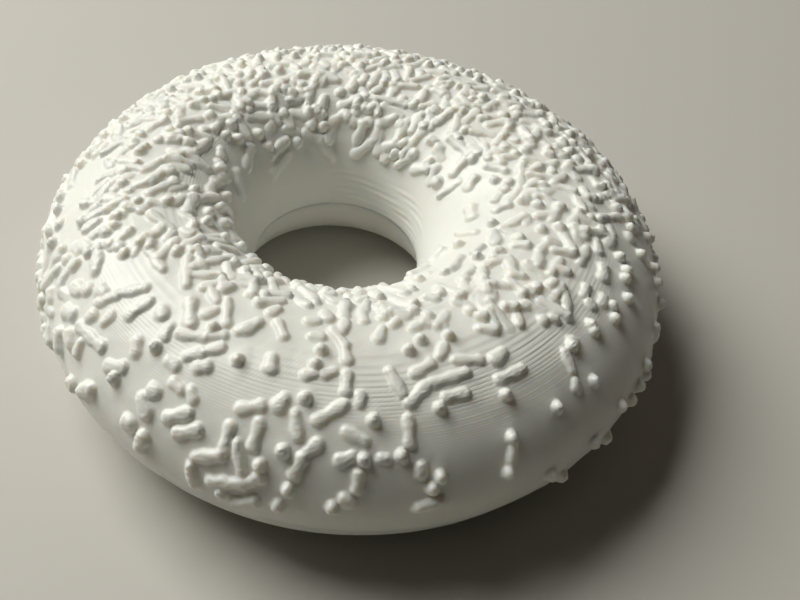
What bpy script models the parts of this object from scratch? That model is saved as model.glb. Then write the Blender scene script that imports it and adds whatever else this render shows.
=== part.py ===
"""Ring doughnut with an icing coat and raised sprinkles, as a one-piece plastic model.

The section of the ring is worked out from a few radii and heights, and its hole sits off centre.
The icing laps over the dough with a lip in the hole and a wavy edge round the outside.
The largest sprinkles are spread by a seeded rule and fused to the icing.
Sizes are in metres, +Z is up and the flat base stands on Z = 0.
"""
import math
import random

import bmesh
import bpy
from mathutils import Vector

MM = 0.001
QUARTER = math.pi / 2

# Ring
OUTER_RADIUS = 45.0 * MM
HEIGHT = 26.0 * MM
CREST_RADIUS = 28.0 * MM
GIRTH_HEIGHT = 12.8 * MM
BASE_OUTER_RADIUS = 33.5 * MM
BASE_INNER_RADIUS = 21.0 * MM

# Hole
HOLE_RADIUS = 12.4 * MM
HOLE_OFFSET = Vector((-3.2 * MM, 1.5 * MM, 0))
LIP_HEIGHT = 10.6 * MM
LIP_OVERHANG = 0.8 * MM
LIP_THICKNESS = 0.5 * MM

# Icing edge round the outside, on the scale that icing_point uses
EDGE_PLACE = -0.15
EDGE_WAVES = ((3, 0.035, 0.6), (7, 0.02, 2.1))
EDGE_OVERHANG = 0.5 * MM

# Steps of the mesh
RING_STEPS = 56
ICING_STEPS = 12
HOLE_WALL_STEPS = 4
SIDE_STEPS = 4

# Sprinkles
SEED = 41
SPRINKLE_COUNT = 206
SPRINKLE_LENGTHS = (6.0 * MM, 3.4 * MM)
SPRINKLE_RADII = (0.60 * MM, 0.70 * MM)
SPRINKLE_LIFT = 0.15 * MM
SPRINKLE_TILT = math.radians(12)
SPRINKLE_SIDES = 5
SPRINKLE_BANDS = 3
SWELL = 1.25
CANDIDATES = 14
LOWEST_PLACE = -0.06
HIGHEST_PLACE = 1.58

# Places with few sprinkles: the middle's angle in degrees and place, half of the width and height, share left
THIN_PATCHES = (
    (-42, 0.12, 44, 0.42, 0.10),
    (-15, 1.52, 46, 0.30, 0.06),
    (-134, 0.30, 11, 0.20, 0.10),
    (-143, 0.45, 24, 0.32, 0.55),
    (-108, 0.60, 8, 0.18, 0.15),
    (-103, 0.80, 14, 0.14, 0.25),
    (-178, 0.56, 14, 0.14, 0.15),
    (180, 1.48, 45, 0.20, 0.40),
)


def ring_point(angle, radius, height, shift):
    """Point at a radius from the axis, moved by a share of the hole's offset."""
    return Vector((radius * math.cos(angle), radius * math.sin(angle), height)) + shift * HOLE_OFFSET


def icing_point(angle, place):
    """Point of the icing, where place is 0 at the widest girth, 1 on the crest and 2 at the lip."""
    turn = place * QUARTER
    if place <= 1:
        radius = CREST_RADIUS + (OUTER_RADIUS - CREST_RADIUS) * math.cos(turn)
        height = GIRTH_HEIGHT + (HEIGHT - GIRTH_HEIGHT) * math.sin(turn)
        shift = 0.5 - 0.5 * math.cos(turn)
    else:
        radius = CREST_RADIUS + (CREST_RADIUS - HOLE_RADIUS) * math.cos(turn)
        height = LIP_HEIGHT + (HEIGHT - LIP_HEIGHT) * math.sin(turn)
        shift = 0.5 - 0.5 * math.cos(turn)
    return ring_point(angle, radius, height, shift)


def edge_place(angle):
    """Place of the icing's wavy outer edge."""
    return EDGE_PLACE + sum(depth * math.sin(count * angle + start) for count, depth, start in EDGE_WAVES)


def hole_wall_point(angle, share):
    """Point of the dough in the hole, from under the lip at 0 to the base at 1."""
    turn = share * QUARTER
    radius = BASE_INNER_RADIUS - (BASE_INNER_RADIUS - HOLE_RADIUS - LIP_OVERHANG) * math.cos(turn)
    height = (LIP_HEIGHT - LIP_THICKNESS) * (1 - math.sin(turn))
    return ring_point(angle, radius, height, 1)


def side_point(angle, share):
    """Point of the dough's outer side, from the base at 0 to under the icing's edge at 1."""
    edge_height = icing_point(angle, edge_place(angle)).z
    turn = share * math.acos(1 - edge_height / GIRTH_HEIGHT)
    radius = BASE_OUTER_RADIUS + (OUTER_RADIUS - EDGE_OVERHANG - BASE_OUTER_RADIUS) * math.sin(turn)
    return ring_point(angle, radius, GIRTH_HEIGHT * (1 - math.cos(turn)), 0)


def section(angle):
    """Closed section of the ring, from the icing's edge over the crest and through the hole to the base."""
    edge = edge_place(angle)
    icing = [icing_point(angle, edge + (2 - edge) * step / ICING_STEPS) for step in range(ICING_STEPS + 1)]
    wall = [hole_wall_point(angle, step / HOLE_WALL_STEPS) for step in range(HOLE_WALL_STEPS + 1)]
    side = [side_point(angle, step / SIDE_STEPS) for step in range(SIDE_STEPS + 1)]
    return icing + wall + side


def new_material(name, colour, roughness):
    """Principled material of one colour."""
    material = bpy.data.materials.new(name)
    material.use_nodes = True
    shader = material.node_tree.nodes["Principled BSDF"]
    shader.inputs["Base Color"].default_value = (*colour, 1)
    shader.inputs["Roughness"].default_value = roughness
    shader.inputs["Metallic"].default_value = 0
    return material


def clear_scene():
    for item in list(bpy.data.objects):
        bpy.data.objects.remove(item, do_unlink=True)


def new_collection(name):
    collection = bpy.data.collections.new(name)
    bpy.context.scene.collection.children.link(collection)
    return collection


def make_ring(collection):
    """Torus whose rings of vertices are moved onto the doughnut's section."""
    minor_steps = len(section(0))
    bpy.ops.mesh.primitive_torus_add(
        major_segments=RING_STEPS, minor_segments=minor_steps, major_radius=3, minor_radius=1)
    ring = bpy.context.object
    ring.name = ring.data.name = "doughnut"
    for owner in list(ring.users_collection):
        owner.objects.unlink(ring)
    collection.objects.link(ring)

    sections = [section(math.tau * step / RING_STEPS) for step in range(RING_STEPS)]
    for vertex in ring.data.vertices:
        x, y, z = vertex.co
        ring_step = round(math.atan2(y, x) / math.tau * RING_STEPS) % RING_STEPS
        minor_step = round(math.atan2(z, math.hypot(x, y) - 3) / math.tau * minor_steps) % minor_steps
        vertex.co = sections[ring_step][minor_step]
    return ring


def cover(angle, place):
    """Share of a full coat of sprinkles that the icing carries at a place."""
    if not LOWEST_PLACE <= place <= HIGHEST_PLACE:
        return 0
    share = 1
    for middle, centre, width, height, left in THIN_PATCHES:
        apart = (math.degrees(angle) - middle + 180) % 360 - 180
        inside = math.exp(-(apart / width) ** 4 - ((place - centre) / height) ** 4)
        share *= 1 - (1 - left) * inside
    return share


def spread_places(draw, count):
    """Even spread of places on the icing: each is the one of several draws that has the most room."""
    widest = OUTER_RADIUS
    taken = []
    while len(taken) < count:
        best = None
        tried = 0
        while tried < CANDIDATES:
            angle = draw.uniform(-math.pi, math.pi)
            place = draw.uniform(LOWEST_PLACE, HIGHEST_PLACE)
            point = icing_point(angle, place)
            share = cover(angle, place)
            if draw.random() > share * point.xy.length / widest:
                continue
            tried += 1
            room = min((point - other[0]).length for other in taken) if taken else 1
            room *= math.sqrt(share)
            if best is None or room > best[0]:
                best = (room, point, angle, place)
        taken.append(best[1:])
    return taken


def icing_frame(angle, place):
    """Directions at a place on the icing: along the ring, up the slope and outwards."""
    step = 0.001
    along = (icing_point(angle + step, place) - icing_point(angle - step, place)).normalized()
    up = (icing_point(angle, place + step) - icing_point(angle, place - step)).normalized()
    return along, up, along.cross(up).normalized()


def make_sprinkle(name, centre, direction, length, radius, collection):
    """Capsule about a centre, with its long axis along a direction."""
    shape = bmesh.new()
    bmesh.ops.create_uvsphere(shape, u_segments=SPRINKLE_SIDES, v_segments=SPRINKLE_BANDS, radius=radius)
    for vertex in shape.verts:
        vertex.co.x *= SWELL
        vertex.co.y *= SWELL
        vertex.co.z += math.copysign(length / 2 - radius, vertex.co.z)
    shape.transform(direction.to_track_quat("Z", "Y").to_matrix().to_4x4())
    mesh = bpy.data.meshes.new(name)
    shape.to_mesh(mesh)
    shape.free()
    sprinkle = bpy.data.objects.new(name, mesh)
    sprinkle.location = centre
    collection.objects.link(sprinkle)


def scatter_sprinkles(collection):
    """Largest sprinkles first, lying on the icing with their lower part sunk in it."""
    draw = random.Random(SEED)
    for index, (point, angle, place) in enumerate(spread_places(draw, SPRINKLE_COUNT)):
        along, up, out = icing_frame(angle, place)
        heading = draw.uniform(0, math.pi)
        tilt = draw.uniform(-SPRINKLE_TILT, SPRINKLE_TILT)
        flat = along * math.cos(heading) + up * math.sin(heading)
        direction = flat * math.cos(tilt) + out * math.sin(tilt)
        longest, shortest = SPRINKLE_LENGTHS
        length = longest + (shortest - longest) * index / SPRINKLE_COUNT
        radius = draw.uniform(*SPRINKLE_RADII)
        make_sprinkle(f"sprinkle_{index}", point + out * SPRINKLE_LIFT, direction, length, radius, collection)


def fuse(target, collection):
    """Union of the target with every object of a collection, which is then removed."""
    union = target.modifiers.new("fused sprinkles", "BOOLEAN")
    union.operation = "UNION"
    union.operand_type = "COLLECTION"
    union.collection = collection
    union.solver = "EXACT"
    graph = bpy.context.evaluated_depsgraph_get()
    fused = bpy.data.meshes.new_from_object(target.evaluated_get(graph))
    target.modifiers.clear()
    old = target.data
    target.data = fused
    bpy.data.meshes.remove(old)
    fused.name = target.name
    for item in list(collection.objects):
        mesh = item.data
        bpy.data.objects.remove(item, do_unlink=True)
        bpy.data.meshes.remove(mesh)
    bpy.data.collections.remove(collection)


def keep_outer_shell(mesh):
    """Drops every loose scrap and sealed hollow, which leaves the one outer surface."""
    shape = bmesh.new()
    shape.from_mesh(mesh)
    shape.verts.ensure_lookup_table()
    unseen = set(shape.verts)
    shells = []
    while unseen:
        shell = {unseen.pop()}
        front = list(shell)
        while front:
            vertex = front.pop()
            for edge in vertex.link_edges:
                other = edge.other_vert(vertex)
                if other in unseen:
                    unseen.discard(other)
                    shell.add(other)
                    front.append(other)
        shells.append(shell)
    shells.sort(key=len)
    scraps = [vertex for shell in shells[:-1] for vertex in shell]
    bmesh.ops.delete(shape, geom=scraps, context="VERTS")
    shape.to_mesh(mesh)
    shape.free()


def centre_on_base(mesh):
    """Moves the mesh so that the middle of its footprint is over the origin."""
    for axis in (0, 1):
        values = [vertex.co[axis] for vertex in mesh.vertices]
        middle = (min(values) + max(values)) / 2
        for vertex in mesh.vertices:
            vertex.co[axis] -= middle


def main():
    clear_scene()
    doughnut_collection = new_collection("doughnut")
    sprinkle_collection = new_collection("sprinkles")
    ring = make_ring(doughnut_collection)
    scatter_sprinkles(sprinkle_collection)
    fuse(ring, sprinkle_collection)
    keep_outer_shell(ring.data)
    centre_on_base(ring.data)
    ring.data.materials.clear()
    ring.data.materials.append(new_material("white plastic", (0.86, 0.84, 0.80), 0.42))
    ring.data.shade_smooth()
    ring.data.set_sharp_from_angle(angle=math.radians(35))


main()
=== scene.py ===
"""Looks of a plastic model doughnut with raised sprinkles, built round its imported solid.

The ring is a fine mesh of the same section. Its icing carries the sprinkles as soft mounds that run into
each other and into the icing. Those that show singly in the photograph lie where it shows them. The rest
are scattered, the largest of them as in the solid. Near the crest the icing has the low terraces that
printed layers leave. Sizes are in metres.
"""
import math
import random
from collections import namedtuple

import bpy
import numpy as np
from mathutils import Matrix, Vector


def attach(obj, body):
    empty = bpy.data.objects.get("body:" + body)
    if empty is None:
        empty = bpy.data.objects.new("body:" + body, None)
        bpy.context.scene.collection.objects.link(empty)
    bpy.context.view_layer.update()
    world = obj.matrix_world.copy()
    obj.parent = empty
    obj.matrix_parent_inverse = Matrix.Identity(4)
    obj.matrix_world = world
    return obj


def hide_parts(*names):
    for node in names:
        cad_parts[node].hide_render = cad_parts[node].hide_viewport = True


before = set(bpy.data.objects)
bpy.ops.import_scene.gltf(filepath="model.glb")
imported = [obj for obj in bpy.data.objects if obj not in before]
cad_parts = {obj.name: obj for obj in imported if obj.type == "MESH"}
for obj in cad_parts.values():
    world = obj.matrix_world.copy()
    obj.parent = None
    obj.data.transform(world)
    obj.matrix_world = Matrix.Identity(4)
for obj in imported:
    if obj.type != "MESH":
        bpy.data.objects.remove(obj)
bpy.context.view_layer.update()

MM = 0.001
QUARTER = math.pi / 2

# Ring, as in the solid
OUTER_RADIUS = 45.0 * MM
HEIGHT = 26.0 * MM
CREST_RADIUS = 28.0 * MM
GIRTH_HEIGHT = 12.8 * MM
BASE_OUTER_RADIUS = 33.5 * MM
BASE_INNER_RADIUS = 21.0 * MM
HOLE_RADIUS = 12.4 * MM
HOLE_OFFSET = (-3.2 * MM, 1.5 * MM)
LIP_HEIGHT = 10.6 * MM
LIP_OVERHANG = 0.8 * MM
LIP_THICKNESS = 0.5 * MM
EDGE_PLACE = -0.15
EDGE_WAVES = ((3, 0.035, 0.6), (7, 0.02, 2.1))
EDGE_OVERHANG = 0.5 * MM
BASE_TOLERANCE = 0.001 * MM

# Fine mesh of the ring: steps round it, and rows from the icing to the base. The icing is made in closed
# bands of under 200,000 triangles each, which meet at the risers of two printed layers, outside the crest
# and inside it.
RING_STEPS = 1350
BAND_LAYERS = (105, 124)
BAND_NAMES = ("icing_foot", "icing_outside", "icing_top", "icing_inside", "icing_lip", "dough")
CORE_RADIUS = 28.0 * MM
CORE_HEIGHT = 11.0 * MM
CORE_SHIFT = 0.5
ROW_STEP = 0.0095
CLOSEST_ROWS = 0.25
LIP_STEPS = 34
WALL_STEPS = 10
SIDE_STEPS = 10
BASE_ROUND = 0.01
STEADY_PLACE = 0.3
LOOSE_PLACE = 1.72

# Printed layers, which show as terraces where the icing is nearly level
LAYER = 0.2 * MM
TERRACE_BOTTOM = 21.4 * MM
TERRACE_SLOPES = (0.78, 0.90)
TERRACE_SHARES = (0.2, 0.65)
TERRACE_PATCHES = 3
TERRACE_TURN = math.radians(60)
RISER = 0.35

# Strands drawn out along the lip of the hole, a fine set and a coarse one. What wanders or slants them has a
# size and a count round the ring, and they fade in and out round the lip and across it.
STRAND_PLACES = (1.70, 1.99)
STRAND_MIDDLE = math.radians(55)
STRAND_REACH = math.radians(52)
STRAND_COUNT = 6.5
STRAND_DEPTH = 0.065 * MM
STRAND_WANDER = (0.05, 5)
STRAND_SLANT = (2, 3)
STRAND_FADES = (7, 14)
COARSE_COUNT = 0.4
COARSE_DEPTH = 0.6
COARSE_WANDER = (0.1, 4, 1)

# Mound of a sprinkle on the icing: its width and height against the sprinkle's, the weights and powers of
# its dome and its steep edge, how sharply mounds blend, how far they droop and spread at the foot, the radii
# that a mound reaches, its lumps along its length, and the grain of all mounds
WIDTH = 1.12
SETTLED = 0.75
DOME = (0.5, 2.4)
EDGE = (0.8, 7)
BLEND = 4
DROOP = 0.9
DROOP_ROUND = 0.1
SKIRT_SHARE = 0.14
SKIRT_WIDTH = 2.3
MOUND_REACH = 4
LUMP = 0.14
LUMP_LENGTH = 0.42 * MM
LUMP_TURN = 9
GRAIN_SEED = 3
GRAIN = 0.05
BEND_RADIUS = 30 * MM
SMOOTHED_TERRACE = 0.25 * MM

# Largest sprinkles, as in the solid. A thin patch has its middle in degrees and place, its half width and
# half height in the same, and the share of the coat that it leaves.
SEED = 41
SPRINKLE_COUNT = 206
SPRINKLE_LENGTHS = (6.0 * MM, 3.4 * MM)
SPRINKLE_RADII = (0.60 * MM, 0.70 * MM)
SPRINKLE_LIFT = 0.15 * MM
SPRINKLE_TILT = math.radians(12)
CANDIDATES = 14
LOWEST_PLACE = -0.06
HIGHEST_PLACE = 1.58
THIN_PATCHES = (
    (-42, 0.12, 44, 0.42, 0.10),
    (-15, 1.52, 46, 0.30, 0.06),
    (-134, 0.30, 11, 0.20, 0.10),
    (-143, 0.45, 24, 0.32, 0.55),
    (-108, 0.60, 8, 0.18, 0.15),
    (-103, 0.80, 14, 0.14, 0.25),
    (-178, 0.56, 14, 0.14, 0.15),
    (180, 1.48, 45, 0.20, 0.40),
)

# Smaller sprinkles, which only this script makes: count, lengths, radii, lifts and steepest tilt
FILL_SEED = 7
FILL_CANDIDATES = 3
SHORT_KIND = (780, (2.2 * MM, 4.6 * MM), (0.58 * MM, 0.74 * MM), (-0.1 * MM, 0.4 * MM), math.radians(16))
DOT_KIND = (680, (1.3 * MM, 1.9 * MM), (0.62 * MM, 0.78 * MM), (0.1 * MM, 0.75 * MM), math.radians(20))

# Sprinkles that show singly in the photograph: pixels of both ends of a rod or a thick lump, and of a tip
PHOTO_RODS = (
    (93, 302, 118, 292), (121, 291, 146, 285), (125, 316, 151, 297), (211, 286, 217, 300),
    (228, 295, 226, 323), (201, 313, 218, 307), (176, 331, 205, 335), (207, 333, 224, 333),
    (235, 330, 250, 323), (170, 324, 162, 337), (165, 359, 176, 366), (102, 365, 122, 366),
    (76, 324, 100, 347), (79, 341, 74, 354), (100, 323, 111, 312), (148, 246, 163, 267),
    (189, 253, 186, 282), (191, 265, 235, 255), (229, 261, 232, 277), (170, 380, 181, 389),
    (184, 356, 204, 350), (206, 349, 224, 344), (189, 388, 191, 400), (163, 419, 190, 412),
    (172, 434, 198, 429), (229, 423, 222, 453), (220, 455, 191, 457), (189, 465, 193, 486),
    (236, 443, 240, 474), (260, 419, 250, 450), (208, 481, 244, 484), (246, 483, 261, 477),
    (232, 505, 255, 502), (292, 479, 303, 457), (304, 454, 320, 442), (295, 412, 297, 440),
    (236, 409, 262, 404), (314, 422, 347, 402), (268, 311, 280, 305), (277, 317, 284, 335),
    (305, 318, 320, 318), (309, 333, 324, 334), (332, 325, 345, 344), (345, 345, 348, 361),
    (346, 317, 342, 330), (347, 369, 346, 392), (361, 392, 360, 405), (303, 373, 318, 371),
    (322, 372, 335, 369), (383, 325, 377, 338), (362, 310, 364, 319), (390, 368, 404, 395),
    (412, 373, 433, 360), (439, 356, 445, 341), (454, 358, 482, 358), (409, 404, 430, 381),
    (431, 383, 469, 370), (498, 379, 526, 366), (445, 396, 470, 391), (408, 415, 411, 446),
    (344, 430, 367, 442), (336, 463, 354, 456), (358, 474, 357, 492), (380, 458, 388, 459),
    (417, 509, 443, 502), (341, 498, 355, 506), (565, 348, 575, 371), (578, 378, 579, 390),
    (598, 238, 601, 251), (588, 245, 582, 261), (588, 284, 586, 294), (590, 298, 596, 307),
    (566, 290, 570, 318), (515, 440, 511, 475), (423, 465, 421, 477), (254, 145, 249, 170),
    (218, 177, 212, 192), (319, 143, 333, 160), (325, 128, 346, 112), (223, 147, 224, 156),
    (455, 231, 474, 230), (373, 142, 381, 118), (352, 158, 372, 143), (275, 176, 291, 156),
)
PHOTO_LUMPS = (
    (160, 306, 162, 316), (191, 296, 189, 325), (135, 338, 134, 352), (139, 397, 145, 416),
    (148, 390, 157, 391), (122, 421, 131, 425), (143, 435, 137, 448), (242, 329, 259, 319),
    (272, 355, 269, 369), (325, 308, 329, 318), (286, 396, 276, 408), (495, 360, 504, 350),
    (606, 264, 605, 277), (606, 295, 604, 303), (614, 236, 609, 243), (629, 232, 634, 238),
    (196, 193, 189, 210), (468, 204, 470, 216), (492, 229, 494, 242), (507, 254, 513, 273),
    (574, 338, 574, 346), (196, 366, 208, 365), (62, 310, 71, 314), (86, 317, 92, 312),
    (66, 330, 68, 345), (57, 330, 57, 348), (71, 283, 78, 291), (87, 284, 83, 292), (97, 251, 93, 270),
    (68, 379, 72, 388), (79, 391, 90, 388), (97, 288, 104, 291),
)
PHOTO_TIPS = (
    (151, 344), (211, 323), (109, 377), (235, 355), (218, 495), (274, 509), (285, 493), (280, 451),
    (257, 467), (304, 395), (321, 345), (315, 361), (440, 407), (508, 394), (515, 438), (511, 475),
    (373, 419), (402, 456), (364, 461), (442, 479), (434, 491), (330, 511), (561, 407), (599, 380),
    (652, 235), (624, 254), (646, 252), (631, 268), (630, 276), (617, 303), (633, 296), (594, 322),
    (598, 329), (575, 344), (225, 204), (211, 216), (195, 221), (228, 233), (245, 242), (232, 194),
    (229, 132), (242, 136), (262, 132), (272, 146), (300, 142), (449, 332), (409, 345), (421, 335),
    (455, 240), (476, 252), (490, 219), (655, 236), (660, 267), (663, 282), (669, 303), (652, 365),
    (651, 376), (645, 387), (637, 402), (627, 408), (611, 441), (599, 445), (566, 480), (556, 479),
    (619, 316), (360, 44), (316, 48), (295, 51), (277, 53), (259, 54), (241, 60), (197, 73), (170, 85),
    (396, 54), (430, 60), (470, 70), (480, 75), (63, 175), (78, 160), (87, 150), (102, 132), (121, 115),
    (133, 105), (57, 194), (54, 206), (45, 228), (48, 239),
)

# Sizes and lifts of the single sprinkles. Those that lie low on the ring's side are lifted more, up to the
# low lift at the first of these places.
ROD_RADIUS = 0.64 * MM
LUMP_RADIUS = 0.8 * MM
TIP_RADIUS = 0.68 * MM
ROD_LIFT = 0.1 * MM
TIP_LIFT = 0.9 * MM
LOW_LIFT = 0.5 * MM
LOW_PLACES = (0.15, 0.45)

# Part of the icing where every sprinkle is a single one: degrees and places of its upper edge, and the
# degrees past which it has a foot too, with its place. Elsewhere a scattered sprinkle keeps some room from
# the single ones.
SINGLE_EDGE = ((-153, 0.2), (-148, 0.97), (-87, 1.2), (-40, 0.75), (-14, 0.84), (8, 0.2))
SINGLE_FOOT = (-36, 0.12)
SINGLE_ROOM = 1.7 * MM

# Places of the icing that are tried for a pixel of the photograph
SEEN_PLACES = (-0.2, 1.95)
SEEN_STEP = 0.006

# Plastic: a white that varies in soft clouds, and light under the skin, which fades out over a gap from the
# heights where bands meet
CLOUD_SCALE = 90
CLOUD_DETAIL = 3
CLOUD_RANGE = (0.3, 0.7)
PLASTIC_COLOURS = ((0.84, 0.84, 0.785, 1), (0.88, 0.88, 0.825, 1))
PLASTIC_ROUGHNESS = (0.32, 0.44)
PLASTIC_IOR = 1.46
SOFT_GAP = (0.1 * MM, 1.3 * MM)
SOFT_DEPTH = 1.0 * MM
SOFT_COLOURS = (1.0, 0.85, 0.7)

# Fine printed lines in the plastic: one for each layer, and slanting fill lines in patches where the icing
# is nearly level. A bump has a strength and a depth, and a wave texture of this scale repeats each metre.
WAVE_SCALE = math.pi / 10
LEVEL_BUMP = (0.25, 0.03 * MM)
LEVEL_WANDER = 0.6
LEVEL_WANDER_SCALE = 0.4
FILL_BUMP = (0.15, 0.05 * MM)
FILL_SPACING = 0.42 * MM
FILL_SLANT = math.radians(45)
FILL_PATCH_SCALE = 140
FILL_PATCH_DETAIL = 1
FILL_PATCHES = (0.52, 0.60)
FILL_SLOPES = (0.75, 0.92)

# Floor, lights and surround: a light has a name, way, distance, size, power in watts and colour
FLOOR_SIZE = 3
FLOOR_DROP = 0.05 * MM
FLOOR_COLOUR = (0.57, 0.55, 0.505, 1)
FLOOR_ROUGHNESS = 0.7
LIGHTS = (
    ("key", (-0.61, 0.34, 0.72), 0.9, 0.6, 9.7, (1, 0.998, 0.945)),
    ("sky", (0.2, 0.3, 1), 1.0, 0.8, 0.25, (1, 0.88, 0.74)),
)
SURROUND_COLOUR = (1, 0.85, 0.7, 1)
SURROUND_STRENGTH = 0.015

# Camera, as the photograph was taken
PHOTO_SIZE = (800, 600)
FOCAL_LENGTH = 45
SENSOR_WIDTH = 36
CAMERA_DISTANCE = 160 * MM
CAMERA_ELEVATION = math.radians(48.4)
CAMERA_PAN = -0.046
CAMERA_TILT = 0.017
CAMERA_ROLL = math.radians(4.4)
CLIP_START = 10 * MM

# A sprinkle on the icing: its middle, which way it points and how steeply, its size, and its lift
Sprinkle = namedtuple("Sprinkle", "angle place heading tilt length radius lift")


def icing(angle, place):
    """Points of the icing, where place is 0 at the widest girth, 1 on the crest and 2 at the lip."""
    turn = place * QUARTER
    outside = place <= 1
    reach = np.where(outside, OUTER_RADIUS - CREST_RADIUS, CREST_RADIUS - HOLE_RADIUS)
    foot = np.where(outside, GIRTH_HEIGHT, LIP_HEIGHT)
    shift = 0.5 - 0.5 * np.cos(turn)
    radius = CREST_RADIUS + reach * np.cos(turn)
    return ring_points(angle, radius, foot + (HEIGHT - foot) * np.sin(turn), shift)


def ring_points(angle, radius, height, shift):
    """Points at a radius from the axis, moved by a share of the hole's offset."""
    x = radius * np.cos(angle) + shift * HOLE_OFFSET[0]
    y = radius * np.sin(angle) + shift * HOLE_OFFSET[1]
    return np.stack(np.broadcast_arrays(x, y, height), -1)


def icing_frame(angle, place):
    """Steps along the ring and up the section for one unit of angle and place, and the way outwards."""
    step = 0.001
    along = (icing(angle + step, place) - icing(angle - step, place)) / (2 * step)
    up = (icing(angle, place + step) - icing(angle, place - step)) / (2 * step)
    out = np.cross(along, up)
    return along, up, out / np.linalg.norm(out, axis=-1, keepdims=True)


def ring_angles():
    """Angles of the steps round the ring."""
    return math.tau * np.arange(RING_STEPS) / RING_STEPS


def wrapped(angle):
    """Angle brought to within half a turn of zero."""
    return (angle + math.pi) % math.tau - math.pi


def edge_place(angle):
    """Place of the icing's wavy outer edge."""
    return EDGE_PLACE + sum(depth * np.sin(count * angle + start) for count, depth, start in EDGE_WAVES)


def hole_wall(angle, share):
    """Points of the dough in the hole, from under the lip at 0 to the base at 1."""
    turn = share * QUARTER
    radius = BASE_INNER_RADIUS - (BASE_INNER_RADIUS - HOLE_RADIUS - LIP_OVERHANG) * np.cos(turn)
    return ring_points(angle, radius, (LIP_HEIGHT - LIP_THICKNESS) * (1 - np.sin(turn)), 1)


def side(angle, share):
    """Points of the dough's outer side, from the base at 0 to under the icing's edge at 1."""
    edge_height = icing(angle, edge_place(angle))[..., 2]
    turn = share * np.arccos(1 - edge_height / GIRTH_HEIGHT)
    radius = BASE_OUTER_RADIUS + (OUTER_RADIUS - EDGE_OVERHANG - BASE_OUTER_RADIUS) * np.sin(turn)
    return ring_points(angle, radius, GIRTH_HEIGHT * (1 - np.cos(turn)), 0)


def height_place(height, foot):
    """Place outside the crest where a face that starts at a foot height has a given height."""
    return math.asin((height - foot) / (HEIGHT - foot)) / QUARTER


def icing_rows():
    """Places of the rows above the icing's wavy edge, with two of them at the riser of each layer."""
    rows = set(np.arange(STEADY_PLACE, LOOSE_PLACE, ROW_STEP))
    for layer in range(round(TERRACE_BOTTOM / LAYER), round(HEIGHT / LAYER)):
        for part in (0, RISER):
            height = (layer + part) * LAYER
            rows |= {height_place(height, GIRTH_HEIGHT), 2 - height_place(height, LIP_HEIGHT)}
    rows = sorted(rows)
    closest = CLOSEST_ROWS * ROW_STEP
    return [rows[0]] + [place for last, place in zip(rows, rows[1:]) if place - last > closest]


def icing_grid(sprinkles):
    """Rows of points of the icing, from its edge over the crest to the lip, and the places of the rows."""
    angle = ring_angles()
    edge = edge_place(angle)
    wavy = np.linspace(0, 1, round((STEADY_PLACE - EDGE_PLACE) / ROW_STEP), endpoint=False)[:, None]
    steady = np.array(icing_rows())[:, None]
    steady = np.broadcast_to(steady, (len(steady), RING_STEPS))
    place = np.concatenate([edge + (STEADY_PLACE - edge) * wavy, steady])
    lip = np.linspace(LOOSE_PLACE, 2, LIP_STEPS + 1)[1:]
    rows = list(raised_icing(np.broadcast_to(angle, place.shape), place, sprinkles))
    rows += [stranded_icing(angle, np.full_like(angle, last)) for last in lip]
    return rows, np.concatenate([place[:, 0], lip])


def dough_rows():
    """Rows of points of the dough, from the lip down the hole, over the base and up to the icing's edge."""
    angle = ring_angles()
    rows = [hole_wall(angle, share) for share in base_shares(WALL_STEPS)]
    return rows + [side(angle, 1 - share) for share in reversed(base_shares(SIDE_STEPS))]


def base_shares(steps):
    """Even shares down to the base, with one row more close above it, which keeps its edge crisp."""
    return [*np.linspace(0, 1, steps + 1)[:-1], 1 - BASE_ROUND, 1]


def grid_normals(points):
    """Outward directions at the points of a grid that closes on itself both ways."""
    onward = np.roll(points, -1, axis=1) - np.roll(points, 1, axis=1)
    across = np.roll(points, -1, axis=0) - np.roll(points, 1, axis=0)
    normals = np.cross(onward, across)
    return normals / np.linalg.norm(normals, axis=-1, keepdims=True)


def make_band(name, points, normals):
    """Closed ring from rows of the grid, with two hidden faces that meet in its core."""
    angle = ring_angles()
    core = ring_points(angle, CORE_RADIUS, CORE_HEIGHT, CORE_SHIFT)[None]
    points = np.concatenate([points, core])
    normals = np.concatenate([normals, np.broadcast_to((0.0, 0.0, 1.0), core.shape)])
    index = np.arange(points[..., 0].size).reshape(points.shape[:2])
    onward, above = np.roll(index, -1, axis=1), np.roll(index, -1, axis=0)
    faces = np.stack([index, onward, np.roll(above, -1, axis=1), above], axis=-1).reshape(-1, 4)
    mesh = bpy.data.meshes.new(name)
    mesh.from_pydata(points.reshape(-1, 3).tolist(), [], faces.tolist())
    mesh.shade_smooth()
    mesh.normals_split_custom_set_from_vertices(normals.reshape(-1, 3).tolist())
    piece = bpy.data.objects.new(name, mesh)
    bpy.context.scene.collection.objects.link(piece)
    return piece


def make_ring(sprinkles):
    """The ring as closed bands that meet without a gap: five of icing, and the dough."""
    rows, places = icing_grid(sprinkles)
    icing_count = len(rows)
    grid = np.stack(rows + dough_rows())
    normals = grid_normals(grid)
    outer = [height_place(layer * LAYER, GIRTH_HEIGHT) for layer in BAND_LAYERS]
    inner = [2 - height_place(layer * LAYER, LIP_HEIGHT) for layer in reversed(BAND_LAYERS)]
    seams = np.abs(places[:, None] - np.array(outer + inner)).argmin(axis=0)
    ends = [0, *seams, icing_count - 1, len(grid)]
    pieces = []
    for name, first, last in zip(BAND_NAMES, ends, ends[1:]):
        band = np.arange(first, last + 1) % len(grid)
        pieces.append(make_band(name, grid[band], normals[band]))
    return pieces


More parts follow.
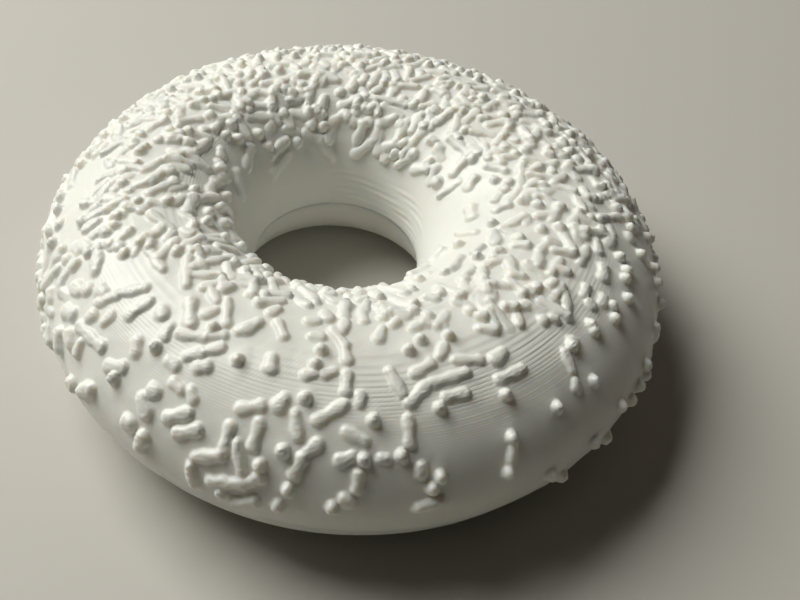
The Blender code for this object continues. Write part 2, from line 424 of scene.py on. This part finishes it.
def stranded_icing(angle, place):
    """Points of the icing by the lip, with strands along it on one side of the hole."""
    apart = np.abs(wrapped(angle - STRAND_MIDDLE)) / STRAND_REACH
    low, high = STRAND_PLACES
    share = np.clip((place - low) / (high - low), 0, 1)
    wander, wanders = STRAND_WANDER
    slant, slants = STRAND_SLANT
    fine = share + wander * np.sin(wanders * angle)
    wave = np.sin(math.tau * STRAND_COUNT * fine + slant * np.sin(slants * angle))
    wander, wanders, start = COARSE_WANDER
    coarse = share + wander * np.sin(wanders * angle + start)
    wave += COARSE_DEPTH * np.sin(math.tau * COARSE_COUNT * STRAND_COUNT * coarse)
    height = STRAND_DEPTH * wave * np.exp(-apart ** 4) * np.sin(math.pi * share) ** 0.5
    around, across = STRAND_FADES
    height *= 0.5 + 0.5 * np.sin(around * angle + across * share)
    return icing(angle, place) + icing_frame(angle, place)[2] * height[..., None]


def raised_icing(angle, place, sprinkles):
    """Points of the icing raised by every sprinkle, and by printed terraces where it is nearly level."""
    points = icing(angle, place)
    out = icing_frame(angle, place)[2]
    total = np.zeros(angle.shape)
    for sprinkle in sprinkles:
        raise_sprinkle(total, place, sprinkle)
    spacing = np.hypot(points[..., 0], points[..., 1]) / OUTER_RADIUS
    height = total ** (1 / BLEND) * (1 + GRAIN * spacing ** 2 * fine_grain(angle.shape))
    low, high = TERRACE_SLOPES
    share = np.clip((out[..., 2] - low) / (high - low), 0, 1) * np.exp(-height / SMOOTHED_TERRACE)
    faint, clear = TERRACE_SHARES
    patches = 0.5 + 0.5 * np.cos(TERRACE_PATCHES * (angle + TERRACE_TURN))
    share = share * (faint + (clear - faint) * patches)
    part = points[..., 2] / LAYER % 1
    terrace = LAYER * (np.minimum(part / RISER, 1) - part) * share
    points = points + out * height[..., None]
    points[..., 2] += terrace
    return points


def fine_grain(shape):
    """Even random grain over a grid, drawn out a little along the ring as printed lines are."""
    grain = np.random.default_rng(GRAIN_SEED).normal(size=shape)
    return (grain + np.roll(grain, 1, axis=1) + np.roll(grain, -1, axis=1)) / math.sqrt(3)


def raise_sprinkle(total, place, sprinkle):
    """Adds one sprinkle's mound to the total over the grid points round it."""
    middle, level, heading = sprinkle.angle, sprinkle.place, sprinkle.heading
    along, up, out = icing_frame(middle, level)
    along_size, up_size = np.linalg.norm(along), np.linalg.norm(up)
    reach = sprinkle.length / 2 + MOUND_REACH * sprinkle.radius
    step = math.tau / RING_STEPS
    first, last = (middle - reach / along_size) / step, (middle + reach / along_size) / step
    columns = np.arange(math.floor(first), math.ceil(last) + 1)
    near = np.nonzero(np.abs(place[:, round(middle / step) % RING_STEPS] - level) < reach / up_size)[0]
    window = np.ix_(near, columns % RING_STEPS)
    y = (place[window] - level) * up_size
    x = np.broadcast_to((columns * step - middle) * along_size, y.shape)
    forth = x * math.cos(heading) + y * math.sin(heading)
    across = y * math.cos(heading) - x * math.sin(heading)
    total[window] += mound(sprinkle, forth, across, 1 - out[2]) ** BLEND


def mound(sprinkle, forth, across, slope):
    """Heights of a sprinkle's mound at distances along it and across it, on icing that slopes."""
    heading, tilt, length, radius, lift = sprinkle[2:]
    half = length / 2 - radius
    beyond = forth - np.clip(forth, -half, half)
    distance = np.hypot(beyond, across)
    downhill = -(beyond * math.sin(heading) + across * math.cos(heading)) / (distance + DROOP_ROUND * radius)
    lump = 1 + LUMP * np.sin(forth / LUMP_LENGTH + LUMP_TURN * heading)
    away = distance / (radius * WIDTH * lump * (1 + DROOP * slope * np.clip(downhill, 0, 1)))
    rise = np.clip(forth, -length / 2, length / 2) * math.tan(tilt)
    top = lift + radius + rise + forth ** 2 / (2 * BEND_RADIUS)
    top *= SETTLED
    dome_weight, dome_power = DOME
    edge_weight, edge_power = EDGE
    dome = np.exp(-dome_weight * away ** dome_power - edge_weight * away ** edge_power)
    shape = (1 - SKIRT_SHARE) * dome + SKIRT_SHARE * np.exp(-(away / SKIRT_WIDTH) ** 2)
    return np.maximum(top, 0) * shape


def cover(angle, place):
    """Share of a full coat of sprinkles that the icing carries at a place."""
    if not LOWEST_PLACE <= place <= HIGHEST_PLACE:
        return 0
    share = 1
    for middle, centre, width, height, left in THIN_PATCHES:
        apart = (math.degrees(angle) - middle + 180) % 360 - 180
        inside = math.exp(-(apart / width) ** 4 - ((place - centre) / height) ** 4)
        share *= 1 - (1 - left) * inside
    return share


def spread_places(draw, count, candidates, taken):
    """Adds an even spread of places to those taken, each the one of several draws with the most room."""
    for _ in range(count):
        best = None
        tried = 0
        while tried < candidates:
            angle = draw.uniform(-math.pi, math.pi)
            place = draw.uniform(LOWEST_PLACE, HIGHEST_PLACE)
            point = icing(angle, place)
            share = cover(angle, place)
            if draw.random() > share * math.hypot(point[0], point[1]) / OUTER_RADIUS:
                continue
            tried += 1
            room = min((math.dist(point, other[0]) for other in taken), default=1)
            room *= math.sqrt(share)
            if best is None or room > best[0]:
                best = (room, tuple(point), angle, place)
        taken.append(best[1:])


def largest_sprinkles(draw, taken):
    """The sprinkles that the solid has."""
    spread_places(draw, SPRINKLE_COUNT, CANDIDATES, taken)
    sprinkles = []
    for index, (_, angle, place) in enumerate(taken):
        heading = draw.uniform(0, math.pi)
        tilt = draw.uniform(-SPRINKLE_TILT, SPRINKLE_TILT)
        longest, shortest = SPRINKLE_LENGTHS
        length = longest + (shortest - longest) * index / SPRINKLE_COUNT
        radius = draw.uniform(*SPRINKLE_RADII)
        sprinkles.append(Sprinkle(angle, place, heading, tilt, length, radius, SPRINKLE_LIFT))
    return sprinkles


def small_sprinkles(draw, taken, kind):
    """Sprinkles of one kind, in places among those taken."""
    count, lengths, radii, lifts, steepest = kind
    first = len(taken)
    spread_places(draw, count, FILL_CANDIDATES, taken)
    sprinkles = []
    for _, angle, place in taken[first:]:
        heading = draw.uniform(0, math.tau)
        tilt = draw.uniform(-steepest, steepest)
        length, radius, lift = draw.uniform(*lengths), draw.uniform(*radii), draw.uniform(*lifts)
        sprinkles.append(Sprinkle(angle, place, heading, tilt, length, radius, lift))
    return sprinkles


def seen_icing(camera, axis, rise):
    """Angles, places and pixels of close points over the part of the icing that faces the camera."""
    turns = np.arange(-math.pi, math.pi, SEEN_STEP)
    angle, place = np.meshgrid(turns, np.arange(*SEEN_PLACES, SEEN_STEP))
    out = icing_frame(angle, place)[2]
    points = icing(angle, place) + rise * out + np.array(axis)
    facing = ((np.array(camera.location) - points) * out).sum(-1) > 0
    to_camera = np.array(camera.matrix_world.inverted())
    seen = points[facing] @ to_camera[:3, :3].T + to_camera[:3, 3]
    width, height = PHOTO_SIZE
    scale = FOCAL_LENGTH / SENSOR_WIDTH * width / -seen[:, 2]
    pixels = np.stack([width / 2 + scale * seen[:, 0], height / 2 - scale * seen[:, 1]], axis=-1)
    return angle[facing], place[facing], pixels


def under_pixel(seen, pixel):
    """Angle and place of the icing point that shows at a pixel of the photograph."""
    angle, place, pixels = seen
    nearest = np.argmin(np.hypot(*(pixels - pixel).T))
    return float(angle[nearest]), float(place[nearest])


def lying_sprinkle(seen, ends, radius):
    """Sprinkle that lies from one pixel to another."""
    first, last = under_pixel(seen, ends[:2]), under_pixel(seen, ends[2:])
    turn = wrapped(last[0] - first[0])
    angle, place = first[0] + turn / 2, (first[1] + last[1]) / 2
    along, up, _ = icing_frame(angle, place)
    forth, rise = turn * np.linalg.norm(along), (last[1] - first[1]) * np.linalg.norm(up)
    lift = ROD_LIFT + float(np.interp(place, LOW_PLACES, (LOW_LIFT, 0)))
    heading, length = math.atan2(rise, forth), math.hypot(forth, rise) + radius
    return Sprinkle(angle, place, heading, 0.0, length, radius, lift)


def single_sprinkles(camera, axis):
    """The sprinkles that show singly in the photograph."""
    seen = seen_icing(camera, axis, ROD_RADIUS)
    lying = [lying_sprinkle(seen, ends, ROD_RADIUS) for ends in PHOTO_RODS]
    lying += [lying_sprinkle(seen, ends, LUMP_RADIUS) for ends in PHOTO_LUMPS]
    seen = seen_icing(camera, axis, SETTLED * (TIP_RADIUS + TIP_LIFT))
    tip = (0.0, 0.0, 2 * TIP_RADIUS, TIP_RADIUS, TIP_LIFT)
    return lying + [Sprinkle(*under_pixel(seen, pixel), *tip) for pixel in PHOTO_TIPS]


def clear_of_singles(sprinkle, single_points):
    """Whether a scattered sprinkle lies outside the single ones' part, and clear of each of them."""
    angle, place = sprinkle.angle, sprinkle.place
    degrees = math.degrees(wrapped(angle))
    edges, places = zip(*SINGLE_EDGE)
    foot_angle, foot = SINGLE_FOOT
    within = place < np.interp(degrees, edges, places, left=-1, right=-1)
    if within and (degrees < foot_angle or place > foot):
        return False
    return np.linalg.norm(single_points - icing(angle, place), axis=-1).min() > SINGLE_ROOM


def add_node(tree, kind, **values):
    """New node of a kind, with its properties set, and its inputs where a name is one of theirs."""
    node = tree.nodes.new(kind)
    for name, value in values.items():
        socket = node.inputs.get(name.replace("_", " ").title())
        if socket is not None and not hasattr(node, name):
            socket.default_value = value
        else:
            setattr(node, name, value)
    return node


def add_range(tree, value, **values):
    """Output that maps a value from one range to another."""
    node = add_node(tree, "ShaderNodeMapRange", **values)
    tree.links.new(value, node.inputs["Value"])
    return node.outputs["Result"]


def add_product(tree, first, second):
    """Output of two values multiplied."""
    node = add_node(tree, "ShaderNodeMath", operation="MULTIPLY")
    tree.links.new(first, node.inputs[0])
    tree.links.new(second, node.inputs[1])
    return node.outputs["Value"]


def add_height(tree, vector):
    """Output of a vector's height, its Z."""
    node = add_node(tree, "ShaderNodeSeparateXYZ")
    tree.links.new(vector, node.inputs["Vector"])
    return node.outputs["Z"]


def add_pattern(tree, kind, place, **values):
    """Output of a noise or wave texture over a place."""
    node = add_node(tree, kind, **values)
    tree.links.new(place, node.inputs["Vector"])
    return node.outputs["Fac"]


def add_bump(tree, height, size):
    """New bump node of a strength and a depth."""
    strength, depth = size
    node = add_node(tree, "ShaderNodeBump", strength=strength, distance=depth)
    tree.links.new(height, node.inputs["Height"])
    return node


def seam_fade(tree, height, seam):
    """Output that rises from 0 near the height of a seam between bands to 1 away from it."""
    apart = add_node(tree, "ShaderNodeMath", operation="SUBTRACT")
    tree.links.new(height, apart.inputs[0])
    apart.inputs[1].default_value = seam
    gap = add_node(tree, "ShaderNodeMath", operation="ABSOLUTE")
    tree.links.new(apart.outputs["Value"], gap.inputs[0])
    away = gap.outputs["Value"]
    start, end = SOFT_GAP
    return add_range(tree, away, interpolation_type="SMOOTHSTEP", from_min=start, from_max=end)


def soft_share(tree, place):
    """Output of the share of light that passes under the skin, which ends where bands of icing meet."""
    height = add_height(tree, place)
    return add_product(tree, *(seam_fade(tree, height, layer * LAYER) for layer in BAND_LAYERS))


def cloudy_white(tree, cloud):
    """Output of a white that varies with a cloud of noise."""
    ramp = add_node(tree, "ShaderNodeValToRGB")
    for element, position, colour in zip(ramp.color_ramp.elements, CLOUD_RANGE, PLASTIC_COLOURS):
        element.position = position
        element.color = colour
    tree.links.new(cloud, ramp.inputs["Fac"])
    return ramp.outputs["Color"]


def level_lines(tree, place):
    """Output of normals with a faint line for each printed layer."""
    lines = add_pattern(
        tree, "ShaderNodeTexWave", place, bands_direction="Z", scale=WAVE_SCALE / LAYER,
        distortion=LEVEL_WANDER, detail_scale=LEVEL_WANDER_SCALE)
    return add_bump(tree, lines, LEVEL_BUMP).outputs["Normal"]


def fill_lines(tree, place, normal):
    """Output of normals with slanting fill lines added, in patches where the icing is nearly level."""
    slant = add_node(tree, "ShaderNodeMapping", rotation=(0, 0, FILL_SLANT))
    tree.links.new(place, slant.inputs["Vector"])
    lines = add_pattern(
        tree, "ShaderNodeTexWave", slant.outputs["Vector"], bands_direction="X",
        scale=WAVE_SCALE / FILL_SPACING)
    cloud = add_pattern(tree, "ShaderNodeTexNoise", place, scale=FILL_PATCH_SCALE, detail=FILL_PATCH_DETAIL)
    least, most = FILL_PATCHES
    patches = add_range(tree, cloud, from_min=least, from_max=most)
    facing_up = add_height(tree, add_node(tree, "ShaderNodeNewGeometry").outputs["Normal"])
    steep, level = FILL_SLOPES
    levels = add_range(tree, facing_up, from_min=steep, from_max=level)
    height = add_product(tree, add_product(tree, patches, levels), lines)
    bump = add_bump(tree, height, FILL_BUMP)
    tree.links.new(normal, bump.inputs["Normal"])
    return bump.outputs["Normal"]


def new_material(name):
    """New material, and the inputs of its shader."""
    material = bpy.data.materials.new(name)
    material.use_nodes = True
    return material, material.node_tree.nodes["Principled BSDF"].inputs


def printed_plastic(name):
    """White plastic of a filament print: soft under its skin, satin, with level lines and fill lines."""
    material, inputs = new_material(name)
    tree = material.node_tree
    inputs["Metallic"].default_value = 0
    inputs["IOR"].default_value = PLASTIC_IOR
    inputs["Subsurface Radius"].default_value = SOFT_COLOURS
    inputs["Subsurface Scale"].default_value = SOFT_DEPTH
    place = add_node(tree, "ShaderNodeTexCoord").outputs["Object"]
    cloud = add_pattern(tree, "ShaderNodeTexNoise", place, scale=CLOUD_SCALE, detail=CLOUD_DETAIL)
    smoothest, roughest = PLASTIC_ROUGHNESS
    tree.links.new(soft_share(tree, place), inputs["Subsurface Weight"])
    tree.links.new(cloudy_white(tree, cloud), inputs["Base Color"])
    tree.links.new(add_range(tree, cloud, to_min=smoothest, to_max=roughest), inputs["Roughness"])
    tree.links.new(fill_lines(tree, place, level_lines(tree, place)), inputs["Normal"])
    return material


def make_floor():
    """Plain pale floor under the base."""
    bpy.ops.mesh.primitive_plane_add(size=FLOOR_SIZE, location=(0, 0, -FLOOR_DROP))
    floor = bpy.context.object
    floor.name = "floor"
    material, inputs = new_material("floor")
    inputs["Base Color"].default_value = FLOOR_COLOUR
    inputs["Roughness"].default_value = FLOOR_ROUGHNESS
    floor.data.materials.append(material)


def make_light(name, way, distance, size, power, colour):
    """Square area light that looks at the middle of the doughnut from a way."""
    data = bpy.data.lights.new(name, "AREA")
    data.size = size
    data.energy = power
    data.color = colour
    light = bpy.data.objects.new(name, data)
    direction = Vector(way).normalized()
    light.location = direction * distance
    light.rotation_mode = "QUATERNION"
    light.rotation_quaternion = direction.to_track_quat("Z", "Y")
    bpy.context.scene.collection.objects.link(light)


def make_studio():
    """Soft key light from the upper left and behind, a weak light from above and a dim warm surround."""
    for light in LIGHTS:
        make_light(*light)
    world = bpy.data.worlds.new("surround")
    world.use_nodes = True
    background = world.node_tree.nodes["Background"]
    background.inputs["Color"].default_value = SURROUND_COLOUR
    background.inputs["Strength"].default_value = SURROUND_STRENGTH
    bpy.context.scene.world = world
    bpy.context.scene.view_settings.view_transform = "Standard"


def turned(vector, axis, angle):
    """Vector turned by an angle about an axis."""
    return Matrix.Rotation(angle, 3, axis) @ vector


def make_camera(axis):
    """Camera at the photograph's place: raised, aimed a little off the ring's axis and rolled."""
    forward = Vector((0, math.cos(CAMERA_ELEVATION), -math.sin(CAMERA_ELEVATION)))
    right = Vector((1, 0, 0))
    up = right.cross(forward)
    place = axis - forward * CAMERA_DISTANCE
    forward, right = turned(forward, up, CAMERA_PAN), turned(right, up, CAMERA_PAN)
    forward, up = turned(forward, right, CAMERA_TILT), turned(up, right, CAMERA_TILT)
    right, up = turned(right, forward, -CAMERA_ROLL), turned(up, forward, -CAMERA_ROLL)
    data = bpy.data.cameras.new("camera")
    data.lens = FOCAL_LENGTH
    data.sensor_width = SENSOR_WIDTH
    data.clip_start = CLIP_START
    camera = bpy.data.objects.new("camera", data)
    camera.matrix_world = Matrix.Translation(place) @ Matrix((right, up, -forward)).transposed().to_4x4()
    bpy.context.scene.collection.objects.link(camera)
    bpy.context.scene.camera = camera
    return camera


def ring_axis():
    """Foot of the ring's axis in the frame, from the outer edge of the solid's flat base."""
    points = [vertex.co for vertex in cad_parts["doughnut"].data.vertices]
    base = [co for co in points if co.z < BASE_TOLERANCE]
    middle = [(min(co[i] for co in base) + max(co[i] for co in base)) / 2 for i in (0, 1)]
    return Vector((*middle, 0))


def main():
    """Sets the stage, and makes the ring with its sprinkles in place of the solid."""
    axis = ring_axis()
    camera = make_camera(axis)
    make_floor()
    make_studio()
    draw = random.Random(SEED)
    fill = random.Random(FILL_SEED)
    taken = []
    scattered = largest_sprinkles(draw, taken)
    for kind in (SHORT_KIND, DOT_KIND):
        scattered += small_sprinkles(fill, taken, kind)
    singles = single_sprinkles(camera, axis)
    single_points = np.array([icing(single.angle, single.place) for single in singles])
    scattered = [sprinkle for sprinkle in scattered if clear_of_singles(sprinkle, single_points)]
    plastic = printed_plastic("printed plastic")
    for piece in make_ring(scattered + singles):
        piece.data.transform(Matrix.Translation(axis))
        piece.data.materials.append(plastic)
        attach(piece, "root")
        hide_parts("doughnut")


main()
